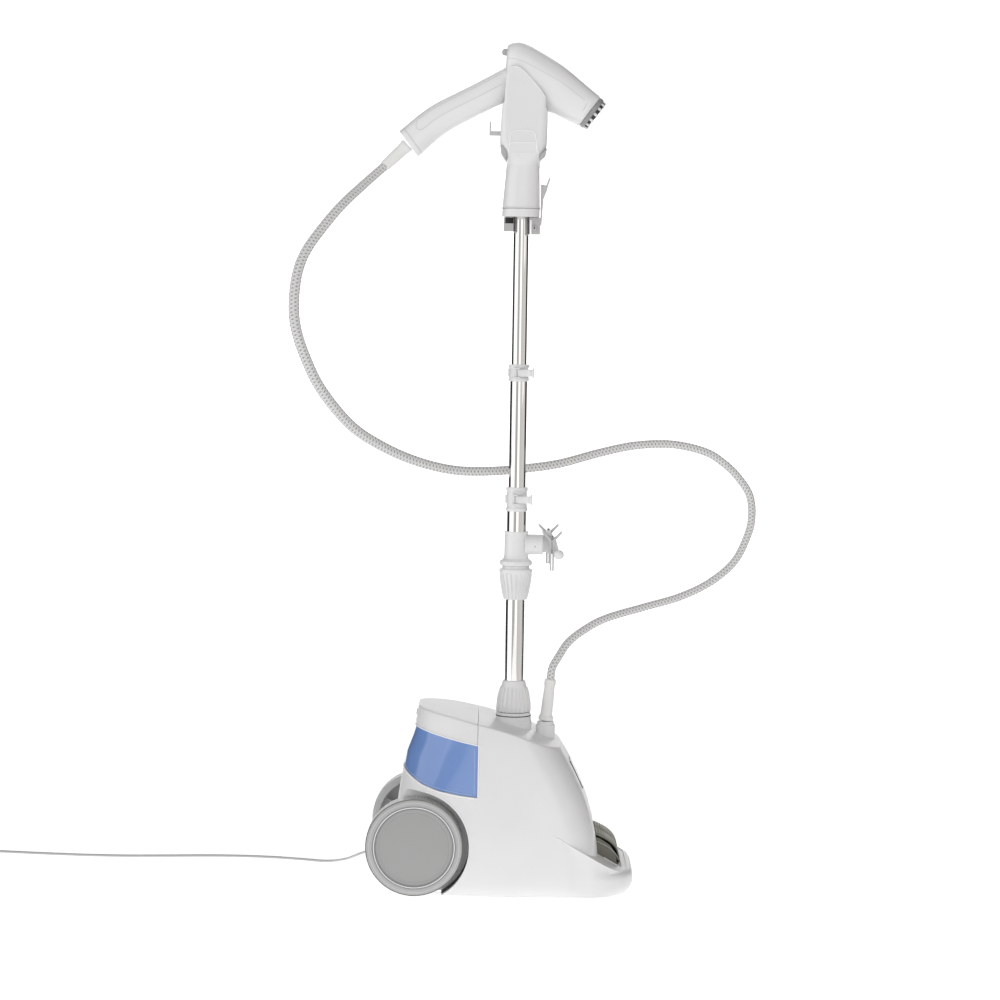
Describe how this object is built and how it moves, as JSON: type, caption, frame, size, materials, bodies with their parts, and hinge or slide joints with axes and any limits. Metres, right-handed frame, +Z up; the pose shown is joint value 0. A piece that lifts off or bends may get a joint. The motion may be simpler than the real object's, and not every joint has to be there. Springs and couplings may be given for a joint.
{
  "type": "garment steamer",
  "caption": "Upright garment steamer: wheeled base with lift-out water tank, telescopic pole, clip hanger, cradle, steam handset, braided hose and mains lead.",
  "frame": {"origin": "centre of the footprint, on the floor that the wheels and feet stand on, cords left out", "axes": "+Z up along the pole, +X towards the pedals and the nozzle, +Y to the steamer's left"},
  "size_m": [1.2948, 0.2733, 1.2345],
  "materials": {
    "white_plastic": "moulded white plastic, satin gloss",
    "blue_tank": "translucent blue tank plastic",
    "grey_plastic": "light grey plastic",
    "black_plastic": "black plastic",
    "wheel_grey": "mid grey moulded wheel",
    "disc_grey": "flat grey disc",
    "olive_plastic": "grey olive pedal",
    "steel": "plain steel",
    "cast_aluminium": "cast",
    "chrome": "polished",
    "brass": "plain",
    "lead_sheath": "white flexible sheath",
    "hose_braid": "off-white braid with small grey flecks"
  },
  "bodies": {
    "root": {"housing": "white_plastic", "lower_clamp": "white_plastic", "pole_socket": "white_plastic", "hose_boot": "white_plastic", "cord_gland": "white_plastic", "valve_seat": "grey_plastic", "base_plate": "grey_plastic", "right_foot": "black_plastic", "left_foot": "black_plastic", "control_board": "black_plastic", "display_window": "black_plastic", "pedal_switches": "black_plastic", "axle": "steel", "pedal_shaft": "steel", "right_pedal_spring": "steel", "left_pedal_spring": "steel", "boiler": "cast_aluminium", "pole_lower": "chrome", "steam_pipe": "brass", "plug_blade_right": "brass", "plug_blade_left": "brass", "feed_tube": "lead_sheath", "mains_cord": "lead_sheath", "cord_coil": "lead_sheath", "plug": "lead_sheath", "steam_hose": "hose_braid"},
    "right_wheel": {"right_wheel": "wheel_grey", "right_wheel_cap": "disc_grey"},
    "left_wheel": {"left_wheel": "wheel_grey", "left_wheel_cap": "disc_grey"},
    "right_pedal": {"right_pedal": "olive_plastic"},
    "left_pedal": {"left_pedal": "olive_plastic"},
    "tank": {"water_tank": "blue_tank", "tank_cap": "white_plastic", "tank_valve": "grey_plastic"},
    "base_nut": {"base_collar_nut": "white_plastic"},
    "collar": {"tee_collar": "white_plastic"},
    "twist_nut": {"twist_nut": "white_plastic"},
    "hanger": {"clip_bracket": "white_plastic", "rear_clip_fixed_jaw": "white_plastic", "front_clip_fixed_jaw": "white_plastic"},
    "rear_clip": {"rear_clip_moving_jaw": "white_plastic"},
    "front_clip": {"front_clip_moving_jaw": "white_plastic"},
    "lower_lever": {"lower_clamp_lever": "white_plastic"},
    "pole_middle": {"pole_middle": "chrome", "upper_clamp": "white_plastic"},
    "upper_lever": {"upper_clamp_lever": "white_plastic"},
    "pole_upper": {"pole_upper": "chrome", "cradle": "white_plastic", "cradle_clamp": "grey_plastic", "cradle_screw": "steel", "cradle_hook": "white_plastic", "handset_hose": "hose_braid"},
    "cradle_lever": {"cradle_lever": "white_plastic"},
    "handset": {"handset_shell": "white_plastic", "nozzle_ring": "grey_plastic", "soleplate": "chrome", "handset_boot": "white_plastic"},
    "steam_button": {"steam_button": "wheel_grey"}
  },
  "joints": [
    {"name": "right_wheel_spin", "type": "hinge", "parent": "root", "child": "right_wheel", "pos_m": [-0.1245, -0.113, 0.0705], "axis": [0, 1, 0], "continuous": true},
    {"name": "left_wheel_spin", "type": "hinge", "parent": "root", "child": "left_wheel", "pos_m": [-0.1245, 0.113, 0.0705], "axis": [0, 1, 0], "continuous": true},
    {"name": "right_pedal_press", "type": "hinge", "parent": "root", "child": "right_pedal", "pos_m": [0.098, -0.0275, 0.034], "axis": [0, 1, 0], "range_deg": [0, 6], "stiffness_Nm_per_rad": 3, "springref_deg": -4.58, "deforming": ["right_pedal_spring"]},
    {"name": "left_pedal_press", "type": "hinge", "parent": "root", "child": "left_pedal", "pos_m": [0.098, 0.0275, 0.034], "axis": [0, 1, 0], "range_deg": [0, 6], "stiffness_Nm_per_rad": 3, "springref_deg": -4.58, "deforming": ["left_pedal_spring"]},
    {"name": "tank_lift", "type": "slide", "parent": "root", "child": "tank", "axis": [0, 0, 1], "range_m": [0, 0.12]},
    {"name": "base_nut_turn", "type": "hinge", "parent": "root", "child": "base_nut", "pos_m": [0.0165, 0, 0.27], "axis": [0, 0, 1], "range_deg": [0, 180]},
    {"name": "collar_slide", "type": "slide", "parent": "root", "child": "collar", "axis": [0, 0, 1], "range_m": [-0.06, 0.02]},
    {"name": "twist_nut_turn", "type": "hinge", "parent": "collar", "child": "twist_nut", "pos_m": [0.0165, 0, 0.44], "axis": [0, 0, 1], "range_deg": [0, 90]},
    {"name": "hanger_swivel", "type": "hinge", "parent": "collar", "child": "hanger", "pos_m": [0.0563, 0, 0.5005], "axis": [1, 0, 0], "range_deg": [-45, 45]},
    {"name": "rear_clip_open", "type": "hinge", "parent": "hanger", "child": "rear_clip", "pos_m": [0.064, 0.006, 0.5165], "axis": [0, 1, 0], "range_deg": [-12, 0], "stiffness_Nm_per_rad": 0.05, "springref_deg": 14.32},
    {"name": "front_clip_open", "type": "hinge", "parent": "hanger", "child": "front_clip", "pos_m": [0.0694, -0.006, 0.5068], "axis": [0, 1, 0], "range_deg": [-12, 0], "stiffness_Nm_per_rad": 0.05, "springref_deg": 14.32},
    {"name": "lower_clamp_open", "type": "hinge", "parent": "root", "child": "lower_lever", "pos_m": [0.0135, -0.019, 0.56745], "axis": [0, 0, 1], "range_deg": [-90, 0]},
    {"name": "pole_middle_slide", "type": "slide", "parent": "root", "child": "pole_middle", "axis": [0, 0, 1], "range_m": [-0.1, 0.09]},
    {"name": "upper_clamp_open", "type": "hinge", "parent": "pole_middle", "child": "upper_lever", "pos_m": [0.0135, -0.018, 0.75335], "axis": [0, 0, 1], "range_deg": [-90, 0]},
    {"name": "pole_upper_slide", "type": "slide", "parent": "root", "child": "pole_upper", "axis": [0, 0, 1], "range_m": [-0.12, 0.2], "deforming": ["steam_hose"]},
    {"name": "cradle_lever_open", "type": "hinge", "parent": "pole_upper", "child": "cradle_lever", "pos_m": [0.0463, 0, 0.97], "axis": [0, 1, 0], "range_deg": [0, 15]},
    {"name": "handset_lift", "type": "slide", "parent": "pole_upper", "child": "handset", "axis": [0, 0, 1], "range_m": [0, 0.06], "deforming": ["handset_hose"]},
    {"name": "steam_button_press", "type": "slide", "parent": "handset", "child": "steam_button", "axis": [0.9976, 0, -0.0698], "range_m": [0, 0.0025], "stiffness_N_per_m": 300, "springref_m": -0.002}
  ]
}
